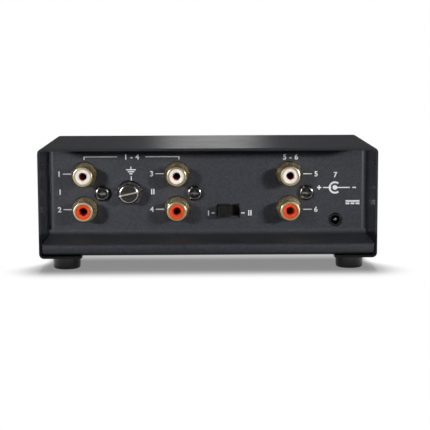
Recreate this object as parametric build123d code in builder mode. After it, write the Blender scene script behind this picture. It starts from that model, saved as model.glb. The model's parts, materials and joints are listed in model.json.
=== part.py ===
from build123d import *
import os

# Compact phono preamp in a folded steel sleeve. All sizes are in millimetres.
# X runs to the right of someone facing the connectors, Y from the connector side
# to the front, and Z up from the table. The origin is under the middle of the case.

# ---------------------------------------------------------------- sleeve cover
case_width = 135.0
case_depth = 72.0
case_height = 44.0
cover_sheet = 1.0
cover_corner_radius = 2.0
flange_width = 17.0
flange_corner_radius = 1.5
dimple_radius = 0.8
dimple_from_rear = 5.0
dimple_from_top = 6.3

# ------------------------------------------------------------------------ feet
foot_height = 5.0
foot_radius = 5.6
foot_taper = 0.2
foot_edge_radius = 0.9
foot_from_side = 10.25
foot_from_end = 8.75
foot_recess_clearance = 0.2
foot_recess_depth = 2.4

# ---------------------------------------------------------------- chassis tray
tray_sheet = 1.0
tray_side_clearance = 0.3
panel_recess = 27.0
wall_side_clearance = 1.0
panel_side_clearance = 0.4
panel_return_depth = 8.0
panel_top_clearance = 0.4
panel_bend_radius = 2.0
tray_bend_radius = 1.4
lip_bend_radius = 1.8
ledge_height = 4.9
lip_setback = 0.5

# ----------------------------------------------------------------- front panel
front_panel_thickness = 2.0
front_panel_setback = 0.5
front_panel_edge = 0.5
front_panel_clearance = 0.3
front_screw_from_side = 24.0
front_screw_grip = 1.5

# --------------------------------------------------------------- circuit board
board_thickness = 1.6
board_end_clearance = 0.6
board_side_clearance = 2.3
standoff_height = 4.1
standoff_across_flats = 5.0
board_screw_from_side = 4.0
board_screw_from_front = 13.5

# -------------------------------------------------------------------- fasteners
m3_radius = 1.5
m3_hole_radius = 1.7
m3_thread_clearance = 0.05
screw_head_radius = 3.25
screw_head_height = 2.1
screw_head_shoulder = 1.2
screw_recess_width = 0.85
screw_recess_span = 3.4
screw_recess_depth = 1.3
jack_screw_length = 7.0
board_screw_length = 5.0
front_screw_length = 2.5
foot_nut_height = 2.0
foot_nut_across_flats = 5.5
foot_screw_end = 0.2

# ----------------------------------------------------------- phono jack pairs
jack_column_mc = -51.3
jack_column_mm = -12.8
jack_column_output = 33.9
jack_above_board = 8.75
jack_pitch = 14.5
jack_reach = 9.0
jack_barrel_radius = 4.15
jack_barrel_wall = 1.0
jack_barrel_edge = 0.4
jack_flange_radius = 5.25
jack_flange_thickness = 1.4
jack_hole_clearance = 0.25
jack_fit_clearance = 0.03
jack_tail_radius = 3.9
insulator_setback = 0.35
insulator_mouth_edge = 0.3
contact_radius = 2.1
contact_bore_radius = 1.6
contact_setback = 1.6
contact_wall = 0.5
contact_lead_radius = 0.45
contact_lead_bend = 0.8
jack_block_half_width = 6.0
jack_block_depth = 12.0
jack_block_above_axis = 6.0
jack_block_edge = 0.4
jack_ear_reach = 11.0
jack_ear_depth = 6.0
jack_ear_half_height = 4.0
jack_screw_offset = 7.3
jack_screw_drop = 0.5
shell_lead_width = 0.9
shell_lead_thickness = 0.6

# -------------------------------------------------------------- ground terminal
ground_column = -32.6
ground_above_board = 15.9
ground_bush_radius = 5.15
ground_bush_thickness = 1.8
ground_thread_radius = 3.0
ground_thread_length = 5.2
ground_hole_clearance = 0.1
ground_screw_radius = 2.0
ground_screw_clearance = 0.06
ground_screw_length = 9.5
ground_face_gap = 0.08
ground_washer_radius = 4.7
ground_washer_thickness = 0.6
ground_head_radius = 4.2
ground_head_length = 4.6
ground_head_edge = 0.9
ground_slot_width = 0.6
ground_slot_depth = 1.2
ground_slot_tilt = 12.5
ground_nut_height = 2.4
ground_nut_across_flats = 8.0
ground_lug_thickness = 0.8
ground_lug_radius = 4.4
ground_lug_tail_width = 3.0
ground_lug_tail_length = 9.5
ground_wire_radius = 0.6
ground_wire_bend = 1.8
ground_wire_standoff = 2.6

# ----------------------------------------------------------------- slide switch
switch_column = 8.6
switch_above_board = 8.1
switch_slot_width = 9.8
switch_slot_height = 5.6
switch_travel = 3.6
switch_frame_sheet = 0.4
switch_frame_width = 14.6
switch_frame_height = 7.6
switch_window_inset = 0.35
switch_knob_width = 5.2
switch_knob_height = 4.4
switch_knob_reach = 5.2
switch_rib_count = 4
switch_rib_pitch = 1.05
switch_rib_width = 0.35
switch_rib_depth = 0.3
switch_plate_width = 6.4
switch_plate_height = 5.6
switch_plate_thickness = 1.4
switch_play = 0.15
switch_wiper_height = 0.9
switch_wiper_thickness = 0.4
switch_wiper_rise = 1.5
switch_base_thickness = 1.6
switch_terminal_radius = 0.35
switch_terminal_bend = 0.7
switch_terminal_pitch = 3.6
switch_terminal_stub = 1.4
switch_terminal_step = 2.0

# ------------------------------------------------------------------ power inlet
power_column = 53.4
power_above_board = 4.0
power_boss_radius = 2.55
power_boss_reach = 0.2
power_hole_clearance = 0.3
power_bore_radius = 1.85
power_bore_depth = 9.5
power_pin_radius = 0.65
power_pin_setback = 1.0
power_body_half_width = 4.0
power_body_depth = 11.5
power_body_above_axis = 4.2
power_spring_width = 1.6
power_spring_thickness = 0.3

# ------------------------------------------------------------------- power lamp
lamp_from_side = 10.0
lamp_above_board = 14.3
lamp_radius = 1.5
lamp_flange_radius = 1.9
lamp_flange_thickness = 1.0
lamp_length = 5.6
lamp_hole_clearance = 0.15
lamp_lead_radius = 0.25
lamp_lead_pitch = 2.54
lamp_lead_bend = 0.8
lamp_holder_width = 5.2
lamp_holder_depth = 3.6
lamp_holder_above_axis = 2.4

# --------------------------------------------------- parts on the circuit board
stage_count = 3
stage_pitch = 28.0
stage_middle = -10.0
stage_from_jacks = 8.6
amplifier_length = 9.6
amplifier_width = 6.4
amplifier_height = 3.3
amplifier_standoff = 0.7
amplifier_lead_pitch = 2.54
amplifier_lead_width = 0.5
amplifier_lead_thickness = 0.3
film_capacitor_length = 7.2
film_capacitor_width = 4.0
film_capacitor_height = 7.5
film_capacitor_edge = 0.5
film_capacitor_offset = 8.6
stage_capacitor_radius = 3.15
stage_capacitor_height = 11.0
stage_capacitor_pitch = 9.0
stage_capacitor_from_front = 5.0
supply_capacitor_radius = 4.0
supply_capacitor_height = 12.5
supply_capacitor_pitch = 9.0
supply_capacitor_middle = 41.0
capacitor_groove_from_foot = 1.8
capacitor_groove_depth = 0.3
capacitor_edge = 0.4
resistor_count = 3
resistor_pitch = 3.0
resistor_from_front = 6.0
resistor_span = 10.0
resistor_length = 6.2
resistor_radius = 1.15
resistor_lead_radius = 0.3
regulator_radius = 2.4
regulator_flat = 1.4
regulator_height = 4.8
regulator_lead_length = 2.4
regulator_lead_radius = 0.3
regulator_lead_pitch = 1.27
regulator_from_side = 6.5
regulator_from_front = 5.5

# ---------------------------------------------------------------- shared places
on_base = (Align.CENTER, Align.CENTER, Align.MIN)
rear_y = -case_depth / 2
front_y = case_depth / 2
cover_top_z = foot_height + case_height
cover_inner_half_width = case_width / 2 - cover_sheet
cover_inner_top_z = cover_top_z - cover_sheet

tray_bottom_z = foot_height + cover_sheet
tray_floor_z = tray_bottom_z + tray_sheet
tray_half_width = cover_inner_half_width - tray_side_clearance
wall_half_width = cover_inner_half_width - wall_side_clearance
panel_half_width = cover_inner_half_width - panel_side_clearance
panel_outer_y = rear_y + panel_recess
panel_inner_y = panel_outer_y + tray_sheet
panel_top_z = cover_inner_top_z - panel_top_clearance
ledge_z = tray_bottom_z + ledge_height
lip_y = rear_y + lip_setback

front_panel_outer_y = front_y - front_panel_setback
front_wall_outer_y = front_panel_outer_y - front_panel_thickness
front_wall_inner_y = front_wall_outer_y - tray_sheet

board_bottom_z = tray_floor_z + standoff_height
board_z = board_bottom_z + board_thickness
board_half_width = cover_inner_half_width - board_side_clearance
board_rear_y = panel_inner_y + board_end_clearance
board_front_y = front_wall_inner_y - board_end_clearance
board_screw_x = board_half_width - board_screw_from_side
board_screw_y = board_front_y - board_screw_from_front

lower_jack_z = board_z + jack_above_board
upper_jack_z = lower_jack_z + jack_pitch
jack_screw_z = (lower_jack_z + upper_jack_z) / 2 - jack_screw_drop
jack_block_rear_y = panel_inner_y + jack_block_depth
jack_columns = {"mc": jack_column_mc, "mm": jack_column_mm, "output": jack_column_output}
jack_rows = {"left": upper_jack_z, "right": lower_jack_z}

ground_z = board_z + ground_above_board
switch_z = board_z + switch_above_board
power_z = board_z + power_above_board
lamp_x = -(cover_inner_half_width - lamp_from_side)
lamp_z = board_z + lamp_above_board
front_screw_x = cover_inner_half_width - front_screw_from_side
front_screw_z = lamp_z

foot_x = case_width / 2 - foot_from_side
foot_y = case_depth / 2 - foot_from_end


def facing_connectors(x, y, z):
    """Plane whose normal points out of the connector side, with X to the right."""
    return Plane(origin=(x, y, z), x_dir=(1, 0, 0), z_dir=(0, -1, 0))


def facing_front(x, y, z):
    """Plane whose normal points out of the front, with X to the left."""
    return Plane(origin=(x, y, z), x_dir=(-1, 0, 0), z_dir=(0, 1, 0))


def facing_down(x, y, z):
    """Plane whose normal points down at the table."""
    return Plane(origin=(x, y, z), x_dir=(1, 0, 0), z_dir=(0, 0, -1))


def save(builder, name):
    """Label a finished piece and write it to its own file."""
    builder.part.label = name
    export_step(builder.part, f"parts/{name}.step")


def pan_screw(length):
    """M3 pan-head cross-recess screw: seat at z = 0, head above it, shank below."""
    with BuildPart() as screw:
        Cylinder(screw_head_radius, screw_head_height, align=on_base)
        fillet(screw.faces().sort_by(Axis.Z)[-1].edges(), screw_head_shoulder)
        Cylinder(m3_radius, length, align=(Align.CENTER, Align.CENTER, Align.MAX))
        with BuildSketch(Plane.XY.offset(screw_head_height)):
            Rectangle(screw_recess_span, screw_recess_width)
            Rectangle(screw_recess_width, screw_recess_span)
        extrude(amount=-screw_recess_depth, mode=Mode.SUBTRACT)
    return screw.part


def screw_group(length, seats):
    """The same screw on each of several seats."""
    screw = pan_screw(length)
    with BuildPart() as group:
        with Locations(*seats):
            add(screw)
    return group


# ---------------------------------------------------------------------- cover
foot_places = [(side * foot_x, end * foot_y) for end in (-1, 1) for side in (-1, 1)]

with BuildPart() as top_cover:
    with BuildSketch(Plane.XZ.offset(-rear_y)):
        with Locations((0, foot_height + case_height / 2)):
            RectangleRounded(case_width, case_height, cover_corner_radius)
            RectangleRounded(
                case_width - 2 * cover_sheet,
                case_height - 2 * cover_sheet,
                cover_corner_radius - cover_sheet,
                mode=Mode.SUBTRACT,
            )
    extrude(amount=-case_depth)
    # The sleeve is open underneath, between two flanges with rounded inner corners.
    with BuildSketch(Plane.XY.offset(foot_height)):
        Rectangle(case_width - 2 * flange_width, case_depth)
        for side in (-1, 1):
            for end in (-1, 1):
                corner = (side * (case_width / 2 - flange_width), end * case_depth / 2)
                with Locations(corner):
                    Rectangle(2 * flange_corner_radius, 2 * flange_corner_radius)
                centre_x = corner[0] + side * flange_corner_radius
                centre_y = corner[1] - end * flange_corner_radius
                with Locations((centre_x, centre_y)):
                    Circle(flange_corner_radius, mode=Mode.SUBTRACT)
    extrude(amount=cover_sheet, mode=Mode.SUBTRACT)
    with BuildSketch(Plane.XY.offset(foot_height)):
        with Locations(*foot_places):
            Circle(m3_hole_radius)
    extrude(amount=cover_sheet, mode=Mode.SUBTRACT)
    with Locations(
        (-cover_inner_half_width, rear_y + dimple_from_rear, cover_top_z - dimple_from_top),
        (cover_inner_half_width, rear_y + dimple_from_rear, cover_top_z - dimple_from_top),
    ):
        Sphere(dimple_radius)

# --------------------------------------------------------------- chassis tray
# One sheet folded four times: rear panel, ledge, lip, floor and front wall.
with BuildPart() as chassis_tray:
    with BuildSketch(Plane.YZ.offset(-tray_half_width)):
        with BuildLine():
            FilletPolyline(
                (panel_outer_y, panel_top_z),
                (panel_outer_y, ledge_z),
                (lip_y, ledge_z),
                (lip_y, tray_bottom_z),
                (front_wall_outer_y, tray_bottom_z),
                (front_wall_outer_y, panel_top_z),
                radius=(panel_bend_radius, tray_bend_radius, lip_bend_radius, tray_bend_radius),
            )
            offset(amount=tray_sheet, side=Side.RIGHT)
        make_face()
    extrude(amount=2 * tray_half_width)
    # The corners under the floor are rounded to clear the bends of the sleeve.
    with BuildSketch(Plane.XZ.offset(-rear_y)):
        with Locations((0, (tray_bottom_z + cover_inner_top_z) / 2)):
            RectangleRounded(
                2 * tray_half_width,
                cover_inner_top_z - tray_bottom_z,
                cover_corner_radius - cover_sheet,
            )
    extrude(amount=-case_depth, mode=Mode.INTERSECT)
    # Both upright walls are narrower than the floor and the ledge.
    panel_bend_top_z = ledge_z + panel_bend_radius
    with BuildSketch(Plane.XY.offset(panel_bend_top_z)):
        Rectangle(2 * tray_half_width, case_depth)
        Rectangle(2 * wall_half_width, case_depth, mode=Mode.SUBTRACT)
        with Locations((0, panel_inner_y)):
            Rectangle(2 * tray_half_width, 2 * tray_sheet + panel_bend_radius)
            Rectangle(
                2 * (panel_half_width - panel_bend_radius),
                2 * tray_sheet + panel_bend_radius,
                mode=Mode.SUBTRACT,
            )
    extrude(amount=panel_top_z - panel_bend_top_z, mode=Mode.SUBTRACT)
    # The ends of the rear panel are folded back along the sides of the sleeve.
    with BuildSketch(Plane.XY.offset(panel_bend_top_z)):
        with BuildLine():
            FilletPolyline(
                (-panel_half_width, panel_outer_y + panel_return_depth),
                (-panel_half_width, panel_outer_y),
                (panel_half_width, panel_outer_y),
                (panel_half_width, panel_outer_y + panel_return_depth),
                radius=panel_bend_radius,
            )
            offset(amount=tray_sheet, side=Side.LEFT)
        make_face()
    extrude(amount=panel_top_z - panel_bend_top_z)
    with BuildSketch(Plane.XY.offset(tray_bottom_z)):
        with Locations(*foot_places):
            Circle(m3_hole_radius)
    extrude(amount=tray_sheet, mode=Mode.SUBTRACT)
    with BuildSketch(facing_connectors(0, panel_inner_y, 0)):
        with Locations(*[(x, z) for x in jack_columns.values() for z in jack_rows.values()]):
            Circle(jack_flange_radius + jack_hole_clearance)
        with Locations(*[(x + jack_screw_offset, jack_screw_z) for x in jack_columns.values()]):
            Circle(m3_hole_radius)
        with Locations((ground_column, ground_z)):
            Circle(ground_thread_radius + ground_hole_clearance)
        with Locations((power_column, power_z)):
            Circle(power_boss_radius + power_hole_clearance)
        with Locations((switch_column, switch_z)):
            Rectangle(switch_slot_width, switch_slot_height)
    extrude(amount=tray_sheet, mode=Mode.SUBTRACT)
    with BuildSketch(facing_front(0, front_wall_inner_y, 0)):
        with Locations((-front_screw_x, front_screw_z), (front_screw_x, front_screw_z)):
            Circle(m3_hole_radius)
        with Locations((-lamp_x, lamp_z)):
            Circle(lamp_flange_radius + lamp_hole_clearance)
    extrude(amount=tray_sheet, mode=Mode.SUBTRACT)

# ---------------------------------------------------------------- front panel
front_panel_bottom_z = tray_bottom_z + front_panel_clearance
front_panel_top_z = cover_inner_top_z - front_panel_clearance

with BuildPart() as front_panel:
    with BuildSketch(facing_front(0, front_wall_outer_y, (front_panel_bottom_z + front_panel_top_z) / 2)):
        RectangleRounded(
            2 * (cover_inner_half_width - front_panel_clearance),
            front_panel_top_z - front_panel_bottom_z,
            cover_corner_radius - cover_sheet,
        )
    extrude(amount=front_panel_thickness)
    chamfer(front_panel.faces().sort_by(Axis.Y)[-1].edges(), front_panel_edge)
    with BuildSketch(facing_front(0, front_wall_outer_y, 0)):
        with Locations((-lamp_x, lamp_z)):
            Circle(lamp_radius + lamp_hole_clearance)
    extrude(amount=front_panel_thickness, mode=Mode.SUBTRACT)
    with BuildSketch(facing_front(0, front_wall_outer_y, 0)):
        with Locations((-front_screw_x, front_screw_z), (front_screw_x, front_screw_z)):
            Circle(m3_radius + m3_thread_clearance)
    extrude(amount=front_screw_grip, mode=Mode.SUBTRACT)

front_panel_screws = screw_group(
    front_screw_length,
    [
        facing_connectors(-front_screw_x, front_wall_inner_y, front_screw_z),
        facing_connectors(front_screw_x, front_wall_inner_y, front_screw_z),
    ],
)

# -------------------------------------------------------------- circuit board
board_screw_places = [(-board_screw_x, board_screw_y), (board_screw_x, board_screw_y)]

with BuildPart() as circuit_board:
    with BuildSketch(Plane.XY.offset(board_bottom_z)):
        with Locations((0, (board_rear_y + board_front_y) / 2)):
            Rectangle(2 * board_half_width, board_front_y - board_rear_y)
        with Locations(*board_screw_places):
            Circle(m3_hole_radius, mode=Mode.SUBTRACT)
    extrude(amount=board_thickness)

with BuildPart() as board_standoffs:
    with BuildSketch(Plane.XY.offset(tray_floor_z)):
        with Locations(*board_screw_places):
            RegularPolygon(standoff_across_flats / 2, 6, major_radius=False)
            Circle(m3_radius + m3_thread_clearance, mode=Mode.SUBTRACT)
    extrude(amount=standoff_height)

board_screws = screw_group(
    board_screw_length,
    [Plane(origin=(x, y, board_z)) for x, y in board_screw_places],
)

# ----------------------------------------------------------------------- feet
foot_bottom_radius = foot_radius - foot_taper


def rubber_foot(x, y):
    """Round foot with a recess underneath for the head of its screw."""
    with BuildPart(Plane(origin=(x, y, 0))) as foot:
        Cone(foot_bottom_radius, foot_radius, foot_height, align=on_base)
        fillet(foot.faces().sort_by(Axis.Z)[0].edges(), foot_edge_radius)
        Cylinder(m3_hole_radius, foot_height, align=on_base, mode=Mode.SUBTRACT)
        Cylinder(
            screw_head_radius + foot_recess_clearance,
            foot_recess_depth,
            align=on_base,
            mode=Mode.SUBTRACT,
        )
    return foot


foot_names = ["foot_rear_left", "foot_rear_right", "foot_front_left", "foot_front_right"]
feet = {name: rubber_foot(x, y) for name, (x, y) in zip(foot_names, foot_places)}

foot_screw_length = tray_floor_z + foot_nut_height + foot_screw_end - foot_recess_depth
foot_screws = screw_group(
    foot_screw_length,
    [facing_down(x, y, foot_recess_depth) for x, y in foot_places],
)

with BuildPart() as foot_nuts:
    with BuildSketch(Plane.XY.offset(tray_floor_z)):
        with Locations(*foot_places):
            RegularPolygon(foot_nut_across_flats / 2, 6, major_radius=False)
            Circle(m3_radius + m3_thread_clearance, mode=Mode.SUBTRACT)
    extrude(amount=foot_nut_height)

# ----------------------------------------------------------- phono jack pairs
jack_bore_radius = jack_barrel_radius - jack_barrel_wall
insulator_radius = jack_bore_radius - jack_fit_clearance
jack_front_reach = tray_sheet + jack_reach
insulator_reach = jack_front_reach - insulator_setback
contact_reach = insulator_reach - contact_setback


def jack_block(x):
    """Moulded block that carries one pair of jacks, with an ear for its screw."""
    block_top_z = upper_jack_z + jack_block_above_axis
    block_middle_z = (board_z + block_top_z) / 2
    with BuildPart() as block:
        with BuildSketch(facing_connectors(x, jack_block_rear_y, block_middle_z)):
            Rectangle(2 * jack_block_half_width, block_top_z - board_z)
        extrude(amount=jack_block_depth)
        chamfer(block.faces().sort_by(Axis.Y)[-1].edges(), jack_block_edge)
        with BuildSketch(facing_connectors(x, panel_inner_y + jack_ear_depth, jack_screw_z)):
            with Locations((jack_ear_reach / 2, 0)):
                Rectangle(jack_ear_reach, 2 * jack_ear_half_height)
        extrude(amount=jack_ear_depth)
        with BuildSketch(facing_connectors(x, panel_inner_y, 0)):
            with Locations(*[(0, z) for z in jack_rows.values()]):
                Circle(jack_tail_radius + jack_fit_clearance)
            with Locations((jack_screw_offset, jack_screw_z)):
                Circle(m3_radius + m3_thread_clearance)
        extrude(amount=-jack_block_depth, mode=Mode.SUBTRACT)
    return block


def jack_shell(x, z, side):
    """Gold-plated shell: barrel, flange in the panel hole, tail and solder lead."""
    with BuildPart(facing_connectors(x, panel_inner_y, z)) as shell:
        Cylinder(jack_barrel_radius, jack_front_reach, align=on_base)
        fillet(shell.faces().sort_by(Axis.Y)[0].edges(), jack_barrel_edge)
        Cylinder(jack_flange_radius, jack_flange_thickness, align=on_base)
        with Locations((0, 0, -jack_block_depth)):
            Cylinder(jack_tail_radius, jack_block_depth, align=on_base)
            Cylinder(
                jack_bore_radius,
                jack_block_depth + jack_front_reach,
                align=on_base,
                mode=Mode.SUBTRACT,
            )
    lead_x = x + side * (jack_tail_radius + jack_bore_radius) / 2
    with BuildPart() as shell_with_lead:
        add(shell)
        with BuildSketch(facing_front(lead_x, jack_block_rear_y, (board_z + z) / 2)):
            Rectangle(shell_lead_width, z - board_z)
        extrude(amount=shell_lead_thickness)
    return shell_with_lead


def jack_insulator(x, z):
    """Coloured bush between the shell and the centre contact."""
    with BuildPart(facing_connectors(x, jack_block_rear_y, z)) as insulator:
        Cylinder(insulator_radius, jack_block_depth + insulator_reach, align=on_base)
        Cylinder(
            contact_bore_radius,
            jack_block_depth + insulator_reach,
            align=on_base,
            mode=Mode.SUBTRACT,
        )
        front_face = insulator.faces().sort_by(Axis.Y)[0]
        chamfer(front_face.inner_wires().edges(), insulator_mouth_edge)
        Cylinder(
            contact_radius + jack_fit_clearance,
            jack_block_depth + contact_reach,
            align=on_base,
            mode=Mode.SUBTRACT,
        )
    return insulator


def jack_contact(x, z, lead_run):
    """Centre contact: a tube that takes a plug's pin, and its lead to the board."""
    lead_y = jack_block_rear_y + lead_run
    with BuildPart(facing_connectors(x, jack_block_rear_y, z)) as tube:
        Cylinder(contact_radius, jack_block_depth + contact_reach, align=on_base)
        with Locations((0, 0, contact_wall)):
            Cylinder(
                contact_bore_radius,
                jack_block_depth + contact_reach,
                align=on_base,
                mode=Mode.SUBTRACT,
            )
    with BuildPart() as contact:
        add(tube)
        with BuildLine():
            FilletPolyline(
                (x, jack_block_rear_y, z),
                (x, lead_y, z),
                (x, lead_y, board_z),
                radius=contact_lead_bend,
            )
        with BuildSketch(facing_front(x, jack_block_rear_y, z)):
            Circle(contact_lead_radius)
        sweep()
    return contact


jack_pairs = {}
for column, column_x in jack_columns.items():
    jack_pairs[f"{column}_jack_block"] = jack_block(column_x)
    for row, row_z in jack_rows.items():
        lead_side = 1 if row == "left" else -1
        lead_run = shell_lead_thickness + (4 if row == "left" else 2) * contact_lead_radius + contact_lead_bend
        jack_pairs[f"{column}_{row}_shell"] = jack_shell(column_x, row_z, lead_side)
        jack_pairs[f"{column}_{row}_insulator"] = jack_insulator(column_x, row_z)
        jack_pairs[f"{column}_{row}_contact"] = jack_contact(column_x, row_z, lead_run)

jack_screws = screw_group(
    jack_screw_length,
    [facing_connectors(x + jack_screw_offset, panel_outer_y, jack_screw_z) for x in jack_columns.values()],
)

# -------------------------------------------------------------- ground terminal
ground_bush_face_y = panel_outer_y - ground_bush_thickness
ground_washer_y = ground_bush_face_y - ground_face_gap
ground_head_y = ground_washer_y - ground_washer_thickness - ground_face_gap
ground_nut_y = panel_inner_y + ground_lug_thickness

with BuildPart(facing_connectors(ground_column, panel_outer_y, ground_z)) as ground_bush:
    Cylinder(ground_bush_radius, ground_bush_thickness, align=on_base)
    chamfer(ground_bush.faces().sort_by(Axis.Y)[0].edges(), ground_bush_thickness / 4)
    with Locations((0, 0, -ground_thread_length)):
        Cylinder(ground_thread_radius, ground_thread_length, align=on_base)
        Cylinder(
            ground_screw_radius + ground_screw_clearance,
            ground_thread_length + ground_bush_thickness,
            align=on_base,
            mode=Mode.SUBTRACT,
        )

with BuildPart(facing_connectors(ground_column, ground_washer_y, ground_z)) as ground_washer:
    Cylinder(ground_washer_radius, ground_washer_thickness, align=on_base)
    Cylinder(
        ground_screw_radius + ground_screw_clearance,
        ground_washer_thickness,
        align=on_base,
        mode=Mode.SUBTRACT,
    )

with BuildPart(facing_connectors(ground_column, ground_head_y, ground_z)) as ground_screw:
    Cylinder(ground_head_radius, ground_head_length, align=on_base)
    fillet(ground_screw.faces().sort_by(Axis.Y)[0].edges(), ground_head_edge)
    with Locations(Location((0, 0, ground_head_length), (0, 0, ground_slot_tilt))):
        Box(3 * ground_head_radius, ground_slot_width, 2 * ground_slot_depth, mode=Mode.SUBTRACT)
    with Locations((0, 0, -ground_screw_length)):
        Cylinder(ground_screw_radius, ground_screw_length, align=on_base)

with BuildPart() as ground_lug:
    with BuildSketch(facing_front(ground_column, panel_inner_y, ground_z)):
        Circle(ground_lug_radius)
        with Locations((0, -ground_lug_tail_length / 2)):
            Rectangle(ground_lug_tail_width, ground_lug_tail_length)
        Circle(ground_thread_radius + ground_hole_clearance, mode=Mode.SUBTRACT)
    extrude(amount=ground_lug_thickness)

with BuildPart() as ground_nut:
    with BuildSketch(facing_front(ground_column, ground_nut_y, ground_z)):
        RegularPolygon(ground_nut_across_flats / 2, 6, major_radius=False)
        Circle(ground_thread_radius + jack_fit_clearance, mode=Mode.SUBTRACT)
    extrude(amount=ground_nut_height)

ground_wire_z = ground_z - ground_lug_tail_length + ground_lug_tail_width / 2
ground_wire_y = ground_nut_y + ground_wire_standoff

with BuildPart() as ground_wire:
    with BuildLine():
        FilletPolyline(
            (ground_column, ground_nut_y, ground_wire_z),
            (ground_column, ground_wire_y, ground_wire_z),
            (ground_column, ground_wire_y, board_z),
            radius=ground_wire_bend,
        )
    with BuildSketch(facing_front(ground_column, ground_nut_y, ground_wire_z)):
        Circle(ground_wire_radius)
    sweep()

# ----------------------------------------------------------------- slide switch
# The slider rests at its left-hand end and travels to the right.
switch_window_width = switch_slot_width - 2 * switch_window_inset
switch_window_height = switch_slot_height - 2 * switch_window_inset
switch_slider_x = switch_column - switch_travel / 2
switch_plate_front_y = panel_inner_y + switch_frame_sheet + switch_play
switch_plate_rear_y = switch_plate_front_y + switch_plate_thickness
switch_wiper_rear_y = switch_plate_rear_y + switch_wiper_thickness
switch_base_front_y = switch_wiper_rear_y + switch_play
switch_base_rear_y = switch_base_front_y + switch_base_thickness
switch_frame_depth = switch_base_rear_y - panel_inner_y

with BuildPart() as switch_frame:
    with BuildSketch(facing_front(switch_column, panel_inner_y, switch_z)):
        Rectangle(switch_frame_width, switch_frame_height)
    extrude(amount=switch_frame_depth)
    with BuildSketch(facing_front(switch_column, panel_inner_y + switch_frame_sheet, switch_z)):
        Rectangle(
            switch_frame_width - 2 * switch_frame_sheet,
            switch_frame_height - 2 * switch_frame_sheet,
        )
    extrude(amount=switch_frame_depth, mode=Mode.SUBTRACT)
    with BuildSketch(facing_front(switch_column, panel_inner_y, switch_z)):
        Rectangle(switch_window_width, switch_window_height)
    extrude(amount=switch_frame_sheet, mode=Mode.SUBTRACT)
    # Two legs stand on the circuit board.
    leg_height = switch_z - switch_frame_height / 2 - board_z
    for leg_side in (-1, 1):
        leg_x = switch_column + leg_side * (switch_frame_width - switch_frame_sheet) / 2
        with BuildSketch(facing_front(leg_x, panel_inner_y + board_end_clearance, board_z + leg_height / 2)):
            Rectangle(switch_frame_sheet, leg_height)
        extrude(amount=switch_frame_depth - board_end_clearance)

with BuildPart() as switch_base:
    with BuildSketch(facing_front(switch_column, switch_base_front_y, switch_z)):
        Rectangle(
            switch_frame_width - 2 * switch_frame_sheet,
            switch_frame_height - 2 * switch_frame_sheet,
        )
    extrude(amount=switch_base_thickness)

switch_knob_y = panel_outer_y - switch_knob_reach
with BuildPart() as switch_slider:
    with BuildSketch(facing_connectors(switch_slider_x, switch_plate_rear_y, switch_z)):
        Rectangle(switch_plate_width, switch_plate_height)
    extrude(amount=switch_plate_thickness)
    with BuildSketch(facing_connectors(switch_slider_x, switch_plate_front_y, switch_z)):
        Rectangle(switch_knob_width, switch_knob_height)
    extrude(amount=switch_plate_front_y - switch_knob_y)
    with BuildSketch(facing_connectors(switch_slider_x, switch_knob_y, switch_z)):
        with GridLocations(switch_rib_pitch, 0, switch_rib_count, 1):
            Rectangle(switch_rib_width, switch_knob_height)
    extrude(amount=-switch_rib_depth, mode=Mode.SUBTRACT)

with BuildPart() as switch_wipers:
    with BuildSketch(facing_front(switch_slider_x, switch_plate_rear_y, switch_z)):
        with GridLocations(0, 2 * switch_wiper_rise, 1, 2):
            Rectangle(switch_plate_width - 1, switch_wiper_height)
    extrude(amount=switch_wiper_thickness)

with BuildPart() as switch_terminals:
    for level in (-1, 1):
        terminal_z = switch_z + level * switch_wiper_rise
        terminal_run = switch_terminal_stub + (level + 1) / 2 * switch_terminal_step
        terminal_y = switch_base_rear_y + terminal_run
        for place in (-1, 0, 1):
            terminal_x = switch_column + place * switch_terminal_pitch
            with BuildLine():
                FilletPolyline(
                    (terminal_x, switch_base_rear_y, terminal_z),
                    (terminal_x, terminal_y, terminal_z),
                    (terminal_x, terminal_y, board_z),
                    radius=switch_terminal_bend,
                )
            with BuildSketch(facing_front(terminal_x, switch_base_rear_y, terminal_z)):
                Circle(switch_terminal_radius)
            sweep()

# ------------------------------------------------------------------ power inlet
with BuildPart() as power_inlet_body:
    power_body_height = power_above_board + power_body_above_axis
    with BuildSketch(facing_front(power_column, panel_inner_y, board_z + power_body_height / 2)):
        Rectangle(2 * power_body_half_width, power_body_height)
    extrude(amount=power_body_depth)
    with BuildSketch(facing_connectors(power_column, panel_inner_y, power_z)):
        Circle(power_boss_radius)
    extrude(amount=tray_sheet + power_boss_reach)
    with BuildSketch(facing_front(power_column, panel_outer_y - power_boss_reach, power_z)):
        Circle(power_bore_radius)
    extrude(amount=power_bore_depth, mode=Mode.SUBTRACT)
    # The spring lies in a pocket in the bottom of the bore.
    with BuildSketch(facing_front(power_column, panel_inner_y, power_z - power_bore_radius)):
        Rectangle(power_spring_width, 2 * power_spring_thickness)
    extrude(amount=power_bore_depth - tray_sheet - power_boss_reach, mode=Mode.SUBTRACT)

power_bore_bottom_y = panel_outer_y - power_boss_reach + power_bore_depth
with BuildPart(facing_connectors(power_column, power_bore_bottom_y, power_z)) as power_inlet_pin:
    Cylinder(power_pin_radius, power_bore_depth - power_pin_setback, align=on_base)
    fillet(power_inlet_pin.faces().sort_by(Axis.Y)[0].edges(), power_pin_radius / 2)

with BuildPart() as power_inlet_spring:
    with BuildSketch(facing_front(power_column, panel_inner_y, power_z - power_bore_radius)):
        with Locations((0, -power_spring_thickness / 2)):
            Rectangle(power_spring_width, power_spring_thickness)
    extrude(amount=power_bore_depth - tray_sheet - power_boss_reach)

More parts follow.
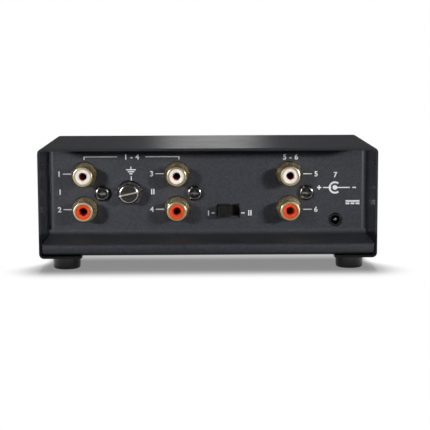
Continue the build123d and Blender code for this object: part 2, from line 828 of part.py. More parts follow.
# ------------------------------------------------------------------- power lamp
lamp_flange_y = front_panel_outer_y - lamp_length
lamp_holder_rear_y = lamp_flange_y - lamp_holder_depth
lamp_lead_y = lamp_holder_rear_y - lamp_lead_bend - 2 * lamp_lead_radius
lamp_lead_places = (lamp_x - lamp_lead_pitch / 2, lamp_x + lamp_lead_pitch / 2)

with BuildPart() as power_lamp:
    with BuildSketch(facing_front(lamp_x, lamp_flange_y, lamp_z)):
        Circle(lamp_radius)
    extrude(amount=lamp_length)
    fillet(power_lamp.faces().sort_by(Axis.Y)[-1].edges(), 0.95 * lamp_radius)
    with BuildSketch(facing_front(lamp_x, lamp_flange_y, lamp_z)):
        Circle(lamp_flange_radius)
    extrude(amount=lamp_flange_thickness)
    for lead_x in lamp_lead_places:
        with BuildLine():
            FilletPolyline(
                (lead_x, lamp_flange_y, lamp_z),
                (lead_x, lamp_lead_y, lamp_z),
                (lead_x, lamp_lead_y, board_z),
                radius=lamp_lead_bend,
            )
        with BuildSketch(facing_connectors(lead_x, lamp_flange_y, lamp_z)):
            Circle(lamp_lead_radius)
        sweep()

with BuildPart() as lamp_holder:
    lamp_holder_height = lamp_above_board + lamp_holder_above_axis
    with BuildSketch(facing_front(lamp_x, lamp_holder_rear_y, board_z + lamp_holder_height / 2)):
        Rectangle(lamp_holder_width, lamp_holder_height)
    extrude(amount=lamp_holder_depth)
    with BuildSketch(facing_front(0, lamp_holder_rear_y, lamp_z)):
        with Locations(*[(-lead_x, 0) for lead_x in lamp_lead_places]):
            Circle(lamp_lead_radius + lamp_hole_clearance)
    extrude(amount=lamp_holder_depth, mode=Mode.SUBTRACT)

# --------------------------------------------------- parts on the circuit board
# Each amplifier stage has its amplifier between two film capacitors, and a pair
# of small electrolytic capacitors in front of it.
stage_y = jack_block_rear_y + stage_from_jacks
stage_places = GridLocations(stage_pitch, 0, stage_count, 1)

with BuildPart() as amplifiers:
    with BuildSketch(Plane(origin=(stage_middle, stage_y, board_z + amplifier_standoff))):
        with stage_places:
            Rectangle(amplifier_length, amplifier_width)
    extrude(amount=amplifier_height)
    amplifier_lead_top = amplifier_standoff + amplifier_height / 2
    with BuildSketch(Plane(origin=(stage_middle, stage_y, board_z))):
        with stage_places:
            with GridLocations(amplifier_lead_pitch, amplifier_width + amplifier_lead_thickness, 4, 2):
                Rectangle(amplifier_lead_width, amplifier_lead_thickness)
    extrude(amount=amplifier_lead_top)

with BuildPart() as film_capacitors:
    with BuildSketch(Plane(origin=(stage_middle, stage_y, board_z))):
        with stage_places:
            with GridLocations(2 * film_capacitor_offset, 0, 2, 1):
                Rectangle(film_capacitor_length, film_capacitor_width)
    extrude(amount=film_capacitor_height)
    chamfer(film_capacitors.faces().group_by(Axis.Z)[-1].edges(), film_capacitor_edge)


def can_capacitor(radius, height):
    """Electrolytic capacitor standing on z = 0, with a crimp groove near its foot."""
    with BuildPart() as can:
        Cylinder(radius, height, align=on_base)
        fillet(can.faces().sort_by(Axis.Z)[-1].edges(), capacitor_edge)
        with Locations((0, 0, capacitor_groove_from_foot)):
            Torus(radius, capacitor_groove_depth, mode=Mode.SUBTRACT)
    return can.part


stage_capacitor = can_capacitor(stage_capacitor_radius, stage_capacitor_height)
stage_capacitor_y = board_front_y - stage_capacitor_from_front
with BuildPart(Plane(origin=(stage_middle, stage_capacitor_y, board_z))) as stage_capacitors:
    with stage_places:
        with GridLocations(stage_capacitor_pitch, 0, 2, 1):
            add(stage_capacitor)

supply_capacitor = can_capacitor(supply_capacitor_radius, supply_capacitor_height)
with BuildPart(Plane(origin=(supply_capacitor_middle, stage_y, board_z))) as supply_capacitors:
    with GridLocations(supply_capacitor_pitch, 0, 2, 1):
        add(supply_capacitor)

with BuildPart() as resistor_shape:
    Cylinder(resistor_radius, resistor_length, rotation=(0, 90, 0))
    fillet(resistor_shape.edges(), resistor_radius / 4)
    with BuildLine():
        FilletPolyline(
            (-resistor_span / 2, 0, -resistor_radius),
            (-resistor_span / 2, 0, 0),
            (resistor_span / 2, 0, 0),
            (resistor_span / 2, 0, -resistor_radius),
            radius=resistor_lead_radius * 2,
        )
    with BuildSketch(Plane(origin=(-resistor_span / 2, 0, -resistor_radius))):
        Circle(resistor_lead_radius)
    sweep()

resistor_plane = Plane(
    origin=(
        stage_middle + stage_pitch / 2,
        board_front_y - resistor_from_front,
        board_z + resistor_radius,
    )
)
with BuildPart(resistor_plane) as resistors:
    with GridLocations(stage_pitch, resistor_pitch, stage_count, resistor_count):
        add(resistor_shape.part)

regulator_x = board_half_width - regulator_from_side
regulator_y = board_front_y - regulator_from_front
with BuildPart() as regulator:
    with BuildSketch(Plane(origin=(regulator_x, regulator_y, board_z + regulator_lead_length))):
        Circle(regulator_radius)
        with Locations((0, -regulator_radius - regulator_flat)):
            Rectangle(2 * regulator_radius, 2 * regulator_radius, mode=Mode.SUBTRACT)
    extrude(amount=regulator_height)
    with BuildSketch(Plane(origin=(regulator_x, regulator_y, board_z))):
        with GridLocations(regulator_lead_pitch, 0, 3, 1):
            Circle(regulator_lead_radius)
    extrude(amount=regulator_lead_length)

# ------------------------------------------------------------------------ files
os.makedirs("parts", exist_ok=True)
pieces = {
    "top_cover": top_cover,
    "chassis_tray": chassis_tray,
    "front_panel": front_panel,
    "front_panel_screws": front_panel_screws,
    "circuit_board": circuit_board,
    "board_standoffs": board_standoffs,
    "board_screws": board_screws,
    "foot_screws": foot_screws,
    "foot_nuts": foot_nuts,
    "jack_screws": jack_screws,
    "ground_bush": ground_bush,
    "ground_washer": ground_washer,
    "ground_screw": ground_screw,
    "ground_lug": ground_lug,
    "ground_nut": ground_nut,
    "ground_wire": ground_wire,
    "switch_frame": switch_frame,
    "switch_base": switch_base,
    "switch_slider": switch_slider,
    "switch_wipers": switch_wipers,
    "switch_terminals": switch_terminals,
    "power_inlet_body": power_inlet_body,
    "power_inlet_pin": power_inlet_pin,
    "power_inlet_spring": power_inlet_spring,
    "power_lamp": power_lamp,
    "lamp_holder": lamp_holder,
    "amplifiers": amplifiers,
    "film_capacitors": film_capacitors,
    "stage_capacitors": stage_capacitors,
    "supply_capacitors": supply_capacitors,
    "resistors": resistors,
    "regulator": regulator,
}
for name, builder in (pieces | feet | jack_pairs).items():
    save(builder, name)
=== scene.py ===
import json
import math

import bmesh
import bpy
from mathutils import Matrix, Vector


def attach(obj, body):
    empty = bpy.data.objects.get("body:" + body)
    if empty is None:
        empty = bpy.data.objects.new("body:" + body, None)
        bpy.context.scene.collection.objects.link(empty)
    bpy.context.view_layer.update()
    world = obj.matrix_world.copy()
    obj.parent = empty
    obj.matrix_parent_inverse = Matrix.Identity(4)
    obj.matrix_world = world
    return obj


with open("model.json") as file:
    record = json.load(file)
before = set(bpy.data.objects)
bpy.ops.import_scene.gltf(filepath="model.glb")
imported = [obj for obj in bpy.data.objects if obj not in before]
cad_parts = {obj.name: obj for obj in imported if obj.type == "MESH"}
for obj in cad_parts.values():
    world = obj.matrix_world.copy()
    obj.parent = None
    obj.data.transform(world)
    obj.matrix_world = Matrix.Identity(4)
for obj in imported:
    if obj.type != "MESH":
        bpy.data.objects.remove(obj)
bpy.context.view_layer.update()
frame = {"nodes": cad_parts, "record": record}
scene = bpy.context.scene
nodes = frame["nodes"]
MM = 0.001

# ------------------------------------------------------------------ camera
# Place, angles and lens were fitted to the corners of the case and to the jacks in the photo.
CAMERA_PLACE = (-2.737 * MM, -566.98 * MM, 92.144 * MM)
CAMERA_YAW = 0.0103
CAMERA_PITCH = 0.1306
CAMERA_ROLL = -0.0035
FOCAL_PIXELS = 1346.18
FRAME_PIXELS = 430
SENSOR_WIDTH = 36.0
CLIP_START = 0.01
CLIP_END = 50

camera_data = bpy.data.cameras.new("camera")
camera_data.sensor_width = SENSOR_WIDTH
camera_data.lens = SENSOR_WIDTH * FOCAL_PIXELS / FRAME_PIXELS
camera_data.clip_start = CLIP_START
camera_data.clip_end = CLIP_END
camera = bpy.data.objects.new("camera", camera_data)
scene.collection.objects.link(camera)
camera.matrix_world = (
    Matrix.Translation(CAMERA_PLACE)
    @ Matrix.Rotation(-CAMERA_YAW, 4, "Z")
    @ Matrix.Rotation(math.pi / 2 - CAMERA_PITCH, 4, "X")
    @ Matrix.Rotation(CAMERA_ROLL, 4, "Z")
)
scene.camera = camera

# -------------------------------------------------------------- colour view
scene.view_settings.view_transform = "Standard"


# --------------------------------------------------------------- materials
class Finish:
    """A procedural material around one Principled shader."""

    def __init__(self, name, color, roughness, metallic=0.0, **sockets):
        self.material = bpy.data.materials.new(name)
        self.material.use_nodes = True
        self.tree = self.material.node_tree
        self.shader = self.tree.nodes["Principled BSDF"]
        self.color = color
        self.roughness = roughness
        self.shader.inputs["Base Color"].default_value = (*color, 1)
        self.shader.inputs["Roughness"].default_value = roughness
        self.shader.inputs["Metallic"].default_value = metallic
        for socket, value in sockets.items():
            self.shader.inputs[socket.replace("_", " ")].default_value = value
        self.place = self.add("ShaderNodeTexCoord").outputs["Object"]

    def add(self, kind, **settings):
        node = self.tree.nodes.new(kind)
        for key, value in settings.items():
            setattr(node, key, value)
        return node

    def link(self, output, socket):
        self.tree.links.new(output, socket)

    def noise(self, size, detail, stretch=(1, 1, 1)):
        """Noise whose grains are about size millimetres, between 0 and 1."""
        mapping = self.add("ShaderNodeMapping")
        self.link(self.place, mapping.inputs["Vector"])
        mapping.inputs["Scale"].default_value = [s / (size * MM) for s in stretch]
        noise = self.add("ShaderNodeTexNoise")
        noise.inputs["Scale"].default_value = 1.0
        noise.inputs["Detail"].default_value = detail
        self.link(mapping.outputs["Vector"], noise.inputs["Vector"])
        return noise.outputs["Fac"]

    def span(self, value, low, high, start=0.3, end=0.7):
        """Maps value from start..end to low..high. Most of a noise lies within 0.3..0.7."""
        mapped = self.add("ShaderNodeMapRange")
        self.link(value, mapped.inputs["Value"])
        mapped.inputs["From Min"].default_value = start
        mapped.inputs["From Max"].default_value = end
        mapped.inputs["To Min"].default_value = low
        mapped.inputs["To Max"].default_value = high
        return mapped.outputs["Result"]

    def tint(self, value, amount):
        """Varies the colour by amount, lighter and darker, with value."""
        mix = self.add("ShaderNodeMix", data_type="RGBA")
        self.link(self.span(value, 0, 1), mix.inputs["Factor"])
        mix.inputs["A"].default_value = (*[c * (1 - amount) for c in self.color], 1)
        mix.inputs["B"].default_value = (*[min(1, c * (1 + amount)) for c in self.color], 1)
        self.link(mix.outputs["Result"], self.shader.inputs["Base Color"])

    def gloss(self, value, amount):
        """Varies the roughness by amount, up and down, with value."""
        varied = self.span(value, self.roughness - amount, self.roughness + amount)
        self.link(varied, self.shader.inputs["Roughness"])

    def relief(self, *layers, edge):
        """Bump layers of (value, height in millimetres) over edges softened by edge millimetres."""
        normal = None
        if edge:
            bevel = self.add("ShaderNodeBevel", samples=4)
            bevel.inputs["Radius"].default_value = edge * MM
            normal = bevel.outputs["Normal"]
        for value, height in layers:
            bump = self.add("ShaderNodeBump")
            bump.inputs["Strength"].default_value = 1.0
            bump.inputs["Distance"].default_value = height * MM
            self.link(value, bump.inputs["Height"])
            if normal:
                self.link(normal, bump.inputs["Normal"])
            normal = bump.outputs["Normal"]
        self.link(normal, self.shader.inputs["Normal"])


def powder_paint(name, color, roughness, grain, depth, edge, **sockets):
    """Baked satin paint on steel: a fine grain, slow patches of gloss and a faint mottle."""
    paint = Finish(name, color, roughness, IOR=1.45, **sockets)
    fine = paint.noise(size=grain, detail=3)
    peel = paint.noise(size=grain * 5, detail=1)
    patches = paint.noise(size=22, detail=3)
    mottle = paint.noise(size=0.8, detail=3)
    paint.tint(mottle, amount=0.3)
    paint.gloss(patches, amount=0.03)
    paint.relief((fine, depth), (peel, depth * 1.6), edge=edge)
    return paint.material


def turned(name, color, roughness, grain, depth, edge):
    """The finish behind turned_metal, open for more nodes."""
    metal = Finish(name, color, roughness, metallic=1.0)
    marks = metal.noise(size=grain, detail=2, stretch=(1, 6, 1))
    metal.tint(metal.noise(size=1.6, detail=3), amount=0.06)
    metal.gloss(metal.noise(size=0.9, detail=3), amount=0.05)
    metal.relief((marks, depth), edge=edge)
    return metal


def turned_metal(*look):
    """Plated turned metal with fine tool marks and a little uneven gloss."""
    return turned(*look).material


def banded_metal(band, *look):
    """Turned metal with a duller band: its depth along Y, its reach to both sides, both in
    millimetres, and its least roughness."""
    depth, reach, least = band
    metal = turned(*look)
    shader_roughness = metal.shader.inputs["Roughness"]
    parts = metal.add("ShaderNodeSeparateXYZ")
    metal.link(metal.place, parts.inputs[0])
    near = metal.add("ShaderNodeMath", operation="COMPARE")
    metal.link(parts.outputs["Y"], near.inputs[0])
    near.inputs[1].default_value = depth * MM
    near.inputs[2].default_value = reach * MM
    scaled = metal.add("ShaderNodeMath", operation="MULTIPLY")
    metal.link(near.outputs[0], scaled.inputs[0])
    scaled.inputs[1].default_value = least
    rough = metal.add("ShaderNodeMath", operation="MAXIMUM")
    metal.link(shader_roughness.links[0].from_socket, rough.inputs[0])
    metal.link(scaled.outputs[0], rough.inputs[1])
    metal.link(rough.outputs[0], shader_roughness)
    return metal.material


def moulded(name, color, roughness, grain, depth, edge, **sockets):
    """Moulded plastic or rubber with a fine surface grain."""
    plastic = Finish(name, color, roughness, **sockets)
    plastic.tint(plastic.noise(size=2.5, detail=3), amount=0.08)
    plastic.gloss(plastic.noise(size=1.2, detail=3), amount=0.05)
    plastic.relief((plastic.noise(size=grain, detail=3), depth), edge=edge)
    return plastic.material


# The floors of the ground screw's slot and of the crosses, and the rims of the jacks, are duller.
SLOT_FLOOR = (-14.96, 0.1, 0.5)
CROSS_FLOOR = (-9.8, 0.3, 0.5)
JACK_RIM = (-18.0, 0.03, 0.33)

# After its name, each finish has a colour and a roughness, then the size of its grain, the depth
# of the grain and the softening of its edges in millimetres.
finishes = {
    "cover_paint": powder_paint(
        "cover_paint", (0.028, 0.029, 0.034), 0.22, 0.16, 0.003, 0.25, Specular_IOR_Level=0.3
    ),
    "panel_paint": powder_paint("panel_paint", (0.034, 0.036, 0.045), 0.45, 0.16, 0.004, 0.3),
    "foot_rubber": moulded("foot_rubber", (0.018, 0.018, 0.017), 0.3, 0.25, 0.001, 0.5),
    "gold_plate": banded_metal(
        JACK_RIM, "gold_plate", (0.88, 0.74, 0.48), 0.2, 0.12, 0.0008, 0.1
    ),
    "contact_brass": turned_metal("contact_brass", (0.85, 0.25, 0.18), 0.7, 0.12, 0.0015, 0.05),
    "white_insulator": moulded("white_insulator", (0.95, 0.87, 0.80), 0.3, 0.2, 0.001, 0.05),
    "red_insulator": moulded("red_insulator", (0.75, 0.07, 0.015), 0.28, 0.2, 0.001, 0.05),
    "nickel": banded_metal(SLOT_FLOOR, "nickel", (0.70, 0.67, 0.63), 0.16, 0.1, 0.0006, 0.06),
    "black_screw": banded_metal(
        CROSS_FLOOR, "black_screw", (0.25, 0.245, 0.24), 0.17, 0.1, 0.0006, 0.05
    ),
    # A darker copy of nickel for the pin of the power inlet: the shade deep in its socket is
    # painted into its colour.
    "dull_nickel": turned_metal("dull_nickel", (0.2, 0.19, 0.19), 0.5, 0.1, 0.0006, 0.06),
    "zinc_steel": turned_metal("zinc_steel", (0.6, 0.6, 0.58), 0.3, 0.15, 0.001, 0.06),
    "tinned_metal": turned_metal("tinned_metal", (0.68, 0.68, 0.68), 0.3, 0.15, 0.001, 0.05),
    "dark_steel": turned_metal("dark_steel", (0.18, 0.175, 0.16), 0.5, 0.15, 0.001, 0.05),
    "black_plastic": moulded(
        "black_plastic", (0.012, 0.012, 0.012), 0.32, 0.3, 0.0005, 0.2, Specular_IOR_Level=0.35
    ),
    # Near black: the shade inside the switch's opening is painted into the colour of the phenolic
    # seen through it.
    "phenolic": moulded("phenolic", (0.012, 0.008, 0.006), 0.5, 0.3, 0.003, 0.05),
    "board_green": moulded("board_green", (0.02, 0.14, 0.06), 0.35, 0.4, 0.004, 0.05),
    "green_wire": moulded("green_wire", (0.05, 0.32, 0.08), 0.35, 0.3, 0.002, 0.0),
    "film_red": moulded("film_red", (0.42, 0.05, 0.03), 0.3, 0.5, 0.004, 0.1),
    "can_sleeve": moulded("can_sleeve", (0.03, 0.05, 0.11), 0.3, 0.5, 0.003, 0.1),
    "resistor_blue": moulded("resistor_blue", (0.2, 0.42, 0.55), 0.35, 0.3, 0.004, 0.05),
    "lamp_lens": moulded(
        "lamp_lens", (0.75, 0.85, 1.0), 0.12, 0.6, 0.001, 0.05, Transmission_Weight=0.7
    ),
    "legend_ink": moulded("legend_ink", (0.78, 0.79, 0.80), 0.5, 0.12, 0.002, 0.0),
}

for part in frame["record"]["subparts"]:
    node = nodes[part["node"]]
    node.data.materials.clear()
    node.data.materials.append(finishes[part["material_slot"]])

# Deep in its socket, the pin of the power inlet can hardly be made out in the photo.
# Its darker nickel paints the socket's shade into the pin's colour.
nodes["power_inlet_pin"].data.materials[0] = finishes["dull_nickel"]

# -------------------------------------------------------------- panel legend
# Places and sizes are in millimetres, x to the right and z up, in the shared frame.
PANEL_FACE_Y = -9.0 * MM
INK_THICKNESS = 0.03 * MM
LINE_WIDTH = 0.36
TEXT_HEIGHT = 2.1
TEXT_BOLD = 0.08
LETTER_SPACING = 1.1
CAPITAL_SHARE = 0.69  # the height of a capital in Blender's own font, as a share of its size
legend = bmesh.new()


def ink_plate(points):
    """A flat inked shape on the panel, from its corner points (x, z)."""
    front = [legend.verts.new((x * MM, PANEL_FACE_Y - INK_THICKNESS, z * MM)) for x, z in points]
    back = [legend.verts.new((x * MM, PANEL_FACE_Y, z * MM)) for x, z in points]
    legend.faces.new(front)
    legend.faces.new(back[::-1])
    for i in range(len(points)):
        j = (i + 1) % len(points)
        legend.faces.new((front[i], back[i], back[j], front[j]))


def ink_bar(left, right, bottom, top):
    ink_plate([(left, bottom), (right, bottom), (right, top), (left, top)])


def ink_dash(left, right, z, width=LINE_WIDTH):
    ink_bar(left, right, z - width / 2, z + width / 2)


def ink_stroke(x, bottom, top, width=LINE_WIDTH):
    ink_bar(x - width / 2, x + width / 2, bottom, top)


def ink_dot(x, z, radius, sides=24):
    turn = 2 * math.pi / sides
    angles = [i * turn for i in range(sides)]
    ink_plate([(x + radius * math.cos(a), z + radius * math.sin(a)) for a in angles])


def ink_arc(x, z, radius, start, end, width, steps):
    """Part of a ring, made of quads, from one angle in degrees to another."""
    for i in range(steps):
        corners = []
        for step, r in ((i, radius), (i + 1, radius), (i + 1, radius + width), (i, radius + width)):
            angle = math.radians(start + (end - start) * step / steps)
            corners.append((x + r * math.cos(angle), z + r * math.sin(angle)))
        ink_plate(corners)


def ink_text(words, x, z):
    """Plain lettering centred on (x, z), with capitals as high as TEXT_HEIGHT."""
    curve = bpy.data.curves.new("lettering", "FONT")
    curve.body = words
    curve.size = TEXT_HEIGHT * MM / CAPITAL_SHARE
    curve.extrude = INK_THICKNESS / 2
    curve.offset = TEXT_BOLD * MM
    curve.align_x = "CENTER"
    curve.space_character = LETTER_SPACING
    text = bpy.data.objects.new("lettering", curve)
    scene.collection.objects.link(text)
    text.matrix_world = (
        Matrix.Translation((x * MM, PANEL_FACE_Y - INK_THICKNESS / 2, (z - TEXT_HEIGHT / 2) * MM))
        @ Matrix.Rotation(math.pi / 2, 4, "X")
    )
    bpy.context.view_layer.update()
    evaluated = text.evaluated_get(bpy.context.evaluated_depsgraph_get())
    shape = bpy.data.meshes.new_from_object(evaluated)
    shape.transform(text.matrix_world)
    legend.from_mesh(shape)
    bpy.data.objects.remove(text)
    bpy.data.curves.remove(curve)
    bpy.data.meshes.remove(shape)


# Inputs: a bracket over both columns of jacks, and a number with a line to each jack.
BRACKET_Z = 43.4
BRACKET_FOOT_Z = 42.2
INPUT_LINE = (1.6, 5.1)
ink_text("1 - 4", -31.6, BRACKET_Z)
ink_dash(-51.5, -37.6, BRACKET_Z)
ink_dash(-25.8, -11.7, BRACKET_Z)
for x in (-51.3, -11.9):
    ink_stroke(x, BRACKET_FOOT_Z, BRACKET_Z)
for mark, x, z in (("1", -61.8, 36.3), ("2", -61.8, 21.4), ("3", -23.3, 36.3), ("4", -23.3, 21.4)):
    ink_text(mark, x, z)
    ink_dash(x + INPUT_LINE[0], x + INPUT_LINE[1], z)
ink_text("I", -61.5, 28.8)
ink_text("II", -22.9, 28.8)

# Ground: the usual sign over a short pointer to the screw.
GROUND_X = -31.9
GROUND_WIDTH = 0.4
GROUND_BAR_Z = 36.3
GROUND_BAR_STEP = 0.85
for row, half in enumerate((0.6, 1.3, 2.0)):
    bar_z = GROUND_BAR_Z + GROUND_BAR_STEP * row
    ink_dash(GROUND_X - half, GROUND_X + half, bar_z, GROUND_WIDTH)
ink_stroke(GROUND_X, 38.1, 39.3, GROUND_WIDTH)
ink_stroke(-31.8, 33.1, 35.3)

# Outputs: the numbers over the column, and a number with a line to each jack.
ink_text("5 - 6", 34.5, 43.1)
for mark, z in (("5", 36.0), ("6", 21.1)):
    ink_text(mark, 45.2, z)
    ink_dash(39.9, 43.5, z)

# Power: a number, the polarity of the plug and the sign for direct current.
POLARITY_X = 53.1
POLARITY_Z = 30.2
SIGN_WIDTH = 0.5
LEAD_WIDTH = 0.45
CURRENT_WIDTH = 0.7
CURRENT_DASH = 1.6
ink_text("7", 53.2, 35.6)
ink_stroke(46.5, 29.3, 31.1, SIGN_WIDTH)
ink_dash(45.6, 47.4, POLARITY_Z, SIGN_WIDTH)
ink_dash(48.2, 51.6, POLARITY_Z, LEAD_WIDTH)
ink_arc(POLARITY_X, POLARITY_Z, radius=1.8, start=50, end=310, width=0.8, steps=24)
ink_dot(POLARITY_X, POLARITY_Z, radius=1.0)
ink_dash(POLARITY_X, 59.4, POLARITY_Z, LEAD_WIDTH)
ink_dash(60.4, 61.9, POLARITY_Z, SIGN_WIDTH)
ink_dash(57.6, 63.4, 24.5, CURRENT_WIDTH)
for x in (57.6, 59.7, 61.8):
    ink_dash(x, x + CURRENT_DASH, 23.5, CURRENT_WIDTH)

# Switch: a number for each of its two positions, with a line towards the knob.
SWITCH_Z = 19.7
ink_text("I", 0.3, SWITCH_Z)
ink_dash(1.6, 2.9, SWITCH_Z, LEAD_WIDTH)
ink_dash(13.9, 15.4, SWITCH_Z, LEAD_WIDTH)
ink_text("II", 17.6, SWITCH_Z)

legend_mesh = bpy.data.meshes.new("panel_legend")
legend.to_mesh(legend_mesh)
legend.free()
panel_legend = bpy.data.objects.new("panel_legend", legend_mesh)
panel_legend.data.materials.append(finishes["legend_ink"])
scene.collection.objects.link(panel_legend)
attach(panel_legend, "case")

# --------------------------------------------------------------- stage shaders
WHITE = (1, 1, 1, 1)


class Shaders:
    """Builds the node tree of the floor or of the world."""

    def __init__(self, tree):
        self.tree = tree
        tree.nodes.clear()
        rays = self.add("ShaderNodeLightPath").outputs
        self.camera = rays["Is Camera Ray"]
        self.diffuse = rays["Is Diffuse Ray"]
        self.mirrored = self.calc("MAXIMUM", rays["Is Glossy Ray"], rays["Is Transmission Ray"])

    def add(self, kind, inputs=(), **settings):
        """A node, with its inputs given as links or values."""
        node = self.tree.nodes.new(kind)
        for key, value in settings.items():
            setattr(node, key, value)
        for socket, value in inputs:
            if isinstance(value, bpy.types.NodeSocket):
                self.tree.links.new(value, node.inputs[socket])
            else:
                node.inputs[socket].default_value = value
        return node

    def calc(self, operation, *values):
        return self.add("ShaderNodeMath", enumerate(values), operation=operation).outputs[0]

    def fade(self, value, start, end, low=0.0, high=1.0, kind="SMOOTHSTEP"):
        """Goes from high at start to low at end."""
        ends = (("From Min", start), ("From Max", end), ("To Min", high), ("To Max", low))
        node = self.add("ShaderNodeMapRange", [("Value", value), *ends], interpolation_type=kind)
        return node.outputs["Result"]

    def glow(self, strength):
        emission = self.add("ShaderNodeEmission", [("Color", WHITE), ("Strength", strength)])
        return emission.outputs[0]

    def mix(self, share, first, second):
        return self.add("ShaderNodeMixShader", [(0, share), (1, first), (2, second)]).outputs[0]


# ---------------------------------------------------------------------- floor
# White paper that keeps the shadow of the object. Metal and gloss see it white beside and
# behind the object, and dim in front, where the room is dark.
FLOOR_HALF = 6.0
FLOOR_GREY = 0.8
BOUNCE_GREY = 0.1  # its grey as it lights the object
# The paper's glow lightens the shadow near the object and paints it out beyond a reach around the
# footprint, which is given by half its width and half its depth. Beside the object the reach grows
# from narrow at mid-depth to broad at the ends.
HALF_FOOTPRINT = (63 * MM, 33 * MM)
SHADOW_REACH = 24 * MM
SIDE_DEPTHS = (12 * MM, 36 * MM)
SIDE_NARROW = 5 * MM
SIDE_BROAD = 22 * MM
SHADOW_GLOW = 0.25
# Painted light under the case: the paper glows more towards the far side.
GAP_DEPTHS = (0.002, -0.012)
GAP_PAINTED_LIGHT = 0.25
# In front: where the dim part begins along Y, and from which slope X / Y it is brighter.
FRONT_DEPTHS = (-0.05, -0.09)
FRONT_LEVEL = 0.03
FRONT_SLOPES = (0.6, 0.45)
FRONT_SIDE_LEVEL = 0.4

floor_corners = [(-1, -1), (1, -1), (1, 1), (-1, 1)]
floor_mesh = bpy.data.meshes.new("floor")
floor_mesh.from_pydata(
    [(x * FLOOR_HALF, y * FLOOR_HALF, 0) for x, y in floor_corners],
    [],
    [(0, 1, 2, 3)],
)
floor = bpy.data.objects.new("floor", floor_mesh)
scene.collection.objects.link(floor)

floor_material = bpy.data.materials.new("floor")
floor_material.use_nodes = True
paper = Shaders(floor_material.node_tree)
position = paper.add("ShaderNodeNewGeometry").outputs["Position"]
spot = paper.add("ShaderNodeSeparateXYZ", [(0, position)]).outputs
wide, deep = paper.calc("ABSOLUTE", spot["X"]), paper.calc("ABSOLUTE", spot["Y"])
reaches = (paper.fade(deep, *SIDE_DEPTHS, SIDE_BROAD, SIDE_NARROW), SHADOW_REACH)
outside = [
    paper.calc("DIVIDE", paper.calc("MAXIMUM", paper.calc("SUBTRACT", length, half), 0.0), reach)
    for length, half, reach in zip((wide, deep), HALF_FOOTPRINT, reaches)
]
squares = [paper.calc("POWER", gap, 2.0) for gap in outside]
distance = paper.calc("SQRT", paper.calc("ADD", *squares))
grey = paper.fade(paper.diffuse, 0.0, 1.0, BOUNCE_GREY, FLOOR_GREY, "LINEAR")
sheet = paper.add("ShaderNodeBsdfDiffuse", [("Color", grey)]).outputs[0]
# Painted light: the glow share shapes the shadow, from SHADOW_GLOW at the footprint to full white
# beyond the reach.
glow_share = paper.fade(distance, 1.0, 0.0, SHADOW_GLOW, 1.0)
# Painted light: more glow under the case towards the far side.
glow_share = paper.calc("ADD", glow_share, paper.fade(spot["Y"], *GAP_DEPTHS, 0.0, GAP_PAINTED_LIGHT))
seen = paper.calc("MAXIMUM", paper.camera, paper.mirrored)
glow_share = paper.calc("MULTIPLY", seen, glow_share)
white_paper = paper.mix(glow_share, sheet, paper.glow(1.0))
front_share = paper.calc("MULTIPLY", paper.mirrored, paper.fade(spot["Y"], *FRONT_DEPTHS, 1.0, 0.0))
front_slope = paper.calc("DIVIDE", wide, deep)
front_level = paper.fade(front_slope, *FRONT_SLOPES, FRONT_LEVEL, FRONT_SIDE_LEVEL)
surface = paper.mix(front_share, white_paper, paper.glow(front_level))
paper.add("ShaderNodeOutputMaterial", [("Surface", surface)])
floor.data.materials.append(floor_material)

# ---------------------------------------------------------------------- world
# White where the camera looks. Metal and gloss see a dim room with a narrow white strip behind
# the object and a white card at each side in front of it. Y and Z are those of the direction,
# and a slope is its X / Y. A pair says where a fade is full and where it has ended.
ROOM_LIGHT = 0.02
ROOM_GLOSS = 0.055
STRIP_LEVEL = 0.51
STRIP_FROM_Y = 0.05
STRIP_MIDDLE = 0.007
STRIP_SLOPES = (0.020, 0.048)
STRIP_TOP = (0.5, 0.9)
CARD_LEVEL = 0.8
CARD_FROM_Y = -0.1
CARD_INNER_SLOPES = (0.6, 0.45)
CARD_OUTER_SLOPES = (1.4, 1.9)
CARD_TOP = (0.4, 0.55)

world = bpy.data.worlds.new("studio")
scene.world = world
world.use_nodes = True
room = Shaders(world.node_tree)
direction = room.add("ShaderNodeTexCoord").outputs["Generated"]
way = room.add("ShaderNodeSeparateXYZ", [(0, direction)]).outputs
behind = room.calc("GREATER_THAN", way["Y"], STRIP_FROM_Y)
strip_slope = room.calc("SUBTRACT", room.calc("DIVIDE", way["X"], way["Y"]), STRIP_MIDDLE)
strip_slope = room.calc("ABSOLUTE", strip_slope)
strip = room.calc(
    "MULTIPLY", room.fade(strip_slope, *STRIP_SLOPES), room.fade(way["Z"], *STRIP_TOP)
)
strip = room.calc("MULTIPLY", room.calc("MULTIPLY", strip, behind), STRIP_LEVEL)
before = room.calc("LESS_THAN", way["Y"], CARD_FROM_Y)
card_slope = room.calc("ABSOLUTE", room.calc("DIVIDE", way["X"], way["Y"]))
cards = room.calc(
    "MULTIPLY",
    room.fade(card_slope, *CARD_INNER_SLOPES),
    room.fade(card_slope, *CARD_OUTER_SLOPES),
)
cards = room.calc("MULTIPLY", room.calc("MULTIPLY", cards, before), room.fade(way["Z"], *CARD_TOP))
bright = room.calc("ADD", strip, room.calc("MULTIPLY", cards, CARD_LEVEL))
reflected = room.calc("MULTIPLY", room.mirrored, room.calc("ADD", bright, ROOM_GLOSS))
diffused = room.calc("MULTIPLY", room.diffuse, ROOM_LIGHT)
strength = room.calc("ADD", room.camera, room.calc("ADD", reflected, diffused))
background = room.add("ShaderNodeBackground", [("Color", WHITE), ("Strength", strength)])
room.add("ShaderNodeOutputWorld", [("Surface", background.outputs[0])])


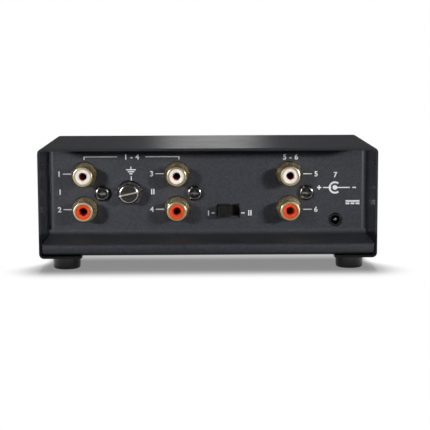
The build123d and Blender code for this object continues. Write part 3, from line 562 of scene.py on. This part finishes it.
# --------------------------------------------------------------------- lights
def soft_light(
    name, azimuth, elevation, distance, width, height, level, aim=(0, 0, 25), spread=180
):
    """A soft box aimed at a point given in millimetres. Azimuth 0 is the connector side, and it
    is positive to the right. Level 1 renders a white surface that faces the lamp as white."""
    a, e = math.radians(azimuth), math.radians(elevation)
    offset = Vector((math.sin(a) * math.cos(e), -math.cos(a) * math.cos(e), math.sin(e)))
    lamp_data = bpy.data.lights.new(name, "AREA")
    lamp_data.shape = "RECTANGLE"
    lamp_data.size = width
    lamp_data.size_y = height
    lamp_data.energy = level * (math.pi * distance) ** 2
    if spread < 180:
        # A narrow lamp keeps its power, so it would be brighter in the middle.
        half = math.radians(spread / 2)
        lamp_data.spread = 2 * half
        lamp_data.energy *= (math.tan(half) - half) / math.tan(half)
    lamp = bpy.data.objects.new(name, lamp_data)
    scene.collection.objects.link(lamp)
    lamp.location = Vector(aim) * MM + offset * distance
    lamp.rotation_euler = offset.to_track_quat("Z", "Y").to_euler()
    lamp.visible_camera = False
    return lamp


def flag(name, corners):
    """A plate that is never seen and only shades, from its corners in millimetres."""
    mesh = bpy.data.meshes.new(name)
    mesh.from_pydata([Vector(corner) * MM for corner in corners], [], [(0, 1, 2, 3)])
    plate = bpy.data.objects.new(name, mesh)
    scene.collection.objects.link(plate)
    for kind in ("camera", "diffuse", "glossy", "transmission"):
        setattr(plate, "visible_" + kind, False)
    return plate


def lights_only(lamps, name, pieces):
    """Keeps the lamps off everything but the pieces."""
    lit = bpy.data.collections.new(name)
    for piece in pieces:
        lit.objects.link(piece)
    for lamp in lamps:
        lamp.light_linking.receiver_collection = lit


panel_lamp = {"elevation": 11.5, "distance": 0.6, "width": 0.11, "height": 0.05, "spread": 24}
left = soft_light("left", azimuth=-33, level=1.03, aim=(-65, -9, 30), **panel_lamp)
right = soft_light("right", azimuth=39, level=1.12, aim=(48, -9, 30), **panel_lamp)
soft_light("front", azimuth=0, elevation=40, distance=0.8, width=0.3, height=0.04, level=0.02)
top = soft_light(
    "top", azimuth=180, elevation=78, distance=1.0, width=0.3, height=0.25, level=0.72
)
edge = soft_light("edge", azimuth=0, elevation=5, distance=0.8, width=0.2, height=0.05, level=1.0)
side_lamp = {"elevation": 12, "distance": 0.8, "width": 0.3, "height": 0.2, "level": 0.6}
sides = [soft_light("side", azimuth=turn, **side_lamp) for turn in (-100, 100)]
for lamp in (top, edge, *sides):
    lamp.visible_glossy = False

# The left and right lamps light the whole panel: the sleeve doesn't shade them. Two plates do that
# in its place, one in its roof and one in front that keeps them off the bottom of the lip.
ROOF_HALF = 67.2
ROOF_NEAR = -30.5
ROOF_FAR = 36
ROOF_Z = 48.1
LIP_HALF = 110
LIP_Y = -70
LIP_BOTTOM = 2
LIP_TOP = 18.4
roof_flag = flag(
    "roof_flag",
    [
        (-ROOF_HALF, ROOF_NEAR, ROOF_Z),
        (ROOF_HALF, ROOF_NEAR, ROOF_Z),
        (ROOF_HALF, ROOF_FAR, ROOF_Z),
        (-ROOF_HALF, ROOF_FAR, ROOF_Z),
    ],
)
lip_flag = flag(
    "lip_flag",
    [
        (-LIP_HALF, LIP_Y, LIP_BOTTOM),
        (LIP_HALF, LIP_Y, LIP_BOTTOM),
        (LIP_HALF, LIP_Y, LIP_TOP),
        (-LIP_HALF, LIP_Y, LIP_TOP),
    ],
)
sleeve = nodes["top_cover"]
blockers = bpy.data.collections.new("blockers")
for blocker in (roof_flag, lip_flag, *nodes.values()):
    if blocker is not sleeve:
        blockers.objects.link(blocker)
for lamp in (left, right):
    lamp.light_linking.blocker_collection = blockers

pieces = [*nodes.values(), panel_legend]
lights_only((left, right), "within_sleeve", [piece for piece in pieces if piece is not sleeve])
lights_only([edge], "sleeve", [sleeve])
lights_only(sides, "all_pieces", pieces)
